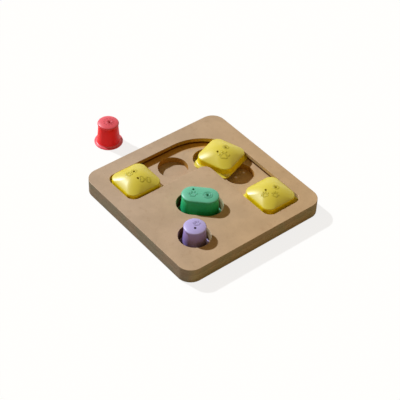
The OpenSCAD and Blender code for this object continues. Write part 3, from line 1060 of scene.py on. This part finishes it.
class FEEDER_OT_feet(bpy.types.Operator):
    """Build the four rubber feet"""
    bl_idname = "feeder.feet"
    bl_label = "Feet"
    bl_options = {"REGISTER", "UNDO"}

    def execute(self, context):
        finish = context.scene.feeder.finish
        r = (FOOT_HIGH.x - FOOT_LOW.x) / 2
        h = FOOT_HIGH.z - FOOT_LOW.z
        middle_r = 0.5 * MM   # the flat faces close over rings of this radius
        edge = 0.5 * MM
        groove = 0.25 * MM
        tread = [(middle_r, groove), (0.55 * r, groove), (0.58 * r, 0), (0.66 * r, 0),
                 (0.68 * r, groove), (0.74 * r, groove), (0.76 * r, 0)]
        profile = tread + arc_points(r - edge, edge, edge, -90, 0, 4)
        profile += [(r, h), (middle_r, h)]
        material = rubber("foot_rubber", finish.rubber)
        for across in ("left", "right"):
            for along in ("front", "back"):
                node = f"foot_{along}_{across}"
                rings = [trace(round_slot(0, 0, x), 0, z) for x, z in profile]
                obj = new_object(f"{node}_rubber", shell(node, rings))
                obj.data.materials.append(material)
                place_piece(obj, node, 0.0)
                seat(obj, "board", node)
        return {"FINISHED"}


# ---- stage

FLOOR_HALF = 6.0    # half side of the floor
FLOOR_GLOW = 0.82   # white that the floor adds to its cloth where it is seen
CAMERA_TARGET = Vector((22.08, -23.31, 30.5)) * MM


def seen_rays(nodes):
    """1 for rays from the camera, a reflection or a refraction, 0 for all others."""
    camera, glossy, clear = (nodes.add("ShaderNodeLightPath", out=f"Is {kind} Ray")
                             for kind in ("Camera", "Glossy", "Transmission"))
    return camera.larger(glossy.larger(clear))


def floor_material(rgb, bounce):
    """A pale floor that shows white and keeps a soft shadow of the object."""
    material, nodes = new_material("pale_floor")
    cloth = nodes.add("ShaderNodeBsdfDiffuse", None, {"Color": shade(rgb, 1.0)})
    white = nodes.add("ShaderNodeEmission", None, {"Strength": FLOOR_GLOW})
    shown = nodes.add("ShaderNodeAddShader", None, {0: cloth, 1: white})
    pale = nodes.add("ShaderNodeBsdfDiffuse", None, {"Color": shade(bounce, 1.0)})
    surface = nodes.add("ShaderNodeMixShader", None,
                        {0: seen_rays(nodes), 1: pale, 2: shown})
    nodes.add("ShaderNodeOutputMaterial", None, {"Surface": surface})
    return material


class FEEDER_OT_stage(bpy.types.Operator):
    """Set the floor, the light and the camera"""
    bl_idname = "feeder.stage"
    bl_label = "Stage"
    bl_options = {"REGISTER", "UNDO"}

    def execute(self, context):
        scene = context.scene
        s = scene.feeder.stage
        self.lay_floor(s)
        self.light(scene, s)
        self.place_camera(scene, s)
        scene.view_settings.view_transform = "Standard"
        return {"FINISHED"}

    def lay_floor(self, s):
        mesh = bpy.data.meshes.new("floor")
        corners = [(x * FLOOR_HALF, y * FLOOR_HALF, 0)
                   for x, y in ((-1, -1), (1, -1), (1, 1), (-1, 1))]
        mesh.from_pydata(corners, [], [(0, 1, 2, 3)])
        mesh.materials.append(floor_material(s.floor, s.bounce))
        new_object("floor", mesh)

    def light(self, scene, s):
        sun = bpy.data.lights.new("sun", "SUN")
        sun.energy = s.sun
        sun.angle = s.sun_size
        sun.color = s.sun_tint
        lamp = bpy.data.objects.new("sun", sun)
        scene.collection.objects.link(lamp)
        level = math.cos(s.sun_elevation)
        beam = Vector((math.cos(s.sun_azimuth) * level, math.sin(s.sun_azimuth) * level,
                       -math.sin(s.sun_elevation)))
        lamp.rotation_euler = beam.to_track_quat("-Z", "Y").to_euler()
        world = bpy.data.worlds.new("studio")
        scene.world = world
        world.use_nodes = True
        nodes = Nodes(world.node_tree)
        soft = nodes.add("ShaderNodeBackground", None,
                         {"Color": shade(s.ambient_tint, 1.0), "Strength": s.ambient})
        white = nodes.add("ShaderNodeBackground", None, {"Color": (1, 1, 1, 1)})
        both = nodes.add("ShaderNodeMixShader", None,
                         {0: seen_rays(nodes), 1: soft, 2: white})
        nodes.add("ShaderNodeOutputWorld", None, {"Surface": both})

    def place_camera(self, scene, s):
        data = bpy.data.cameras.new("camera")
        data.lens = s.lens
        data.sensor_width = 36
        data.clip_end = 50
        camera = bpy.data.objects.new("camera", data)
        scene.collection.objects.link(camera)
        back = Vector((math.sin(s.azimuth) * math.cos(s.elevation),
                       -math.cos(s.azimuth) * math.cos(s.elevation),
                       math.sin(s.elevation)))
        right = Vector((math.cos(s.azimuth), math.sin(s.azimuth), 0))
        up = back.cross(right)
        level = right * math.cos(s.roll) + up * math.sin(s.roll)
        upright = up * math.cos(s.roll) - right * math.sin(s.roll)
        spin = Matrix((level, upright, back)).transposed().to_4x4()
        camera.matrix_world = Matrix.Translation(CAMERA_TARGET + back * s.distance) @ spin
        scene.camera = camera


# ---- panel and run


class FEEDER_PT_panel(bpy.types.Panel):
    """The feeder's pieces and their sizes"""
    bl_idname = "FEEDER_PT_panel"
    bl_label = "Dog puzzle feeder"
    bl_space_type = "VIEW_3D"
    bl_region_type = "UI"
    bl_category = "Feeder"

    def draw(self, context):
        feeder = context.scene.feeder
        for operator, group in STEPS:
            box = self.layout.box()
            box.operator(operator.bl_idname)
            for name in getattr(feeder, group).__annotations__ if group else ():
                box.prop(getattr(feeder, group), name)


STEPS = ((FEEDER_OT_stage, "stage"), (FEEDER_OT_board, "board"), (FEEDER_OT_caps, "cap"),
         (FEEDER_OT_cups, "cup"), (FEEDER_OT_feet, None))

CLASSES = (BoardSizes, CapSizes, CupSizes, ReliefSizes, Finish, StageSettings,
           FeederSettings, FEEDER_OT_stage, FEEDER_OT_board, FEEDER_OT_caps,
           FEEDER_OT_cups, FEEDER_OT_feet, FEEDER_PT_panel)


def register():
    for cls in CLASSES:
        bpy.utils.register_class(cls)
    bpy.types.Scene.feeder = bpy.props.PointerProperty(type=FeederSettings)


def unregister():
    del bpy.types.Scene.feeder
    for cls in reversed(CLASSES):
        bpy.utils.unregister_class(cls)


def main():
    register()
    bpy.ops.feeder.stage()
    bpy.ops.feeder.board()
    bpy.ops.feeder.caps()
    bpy.ops.feeder.cups()
    bpy.ops.feeder.feet()


if __name__ == "__main__":
    main()
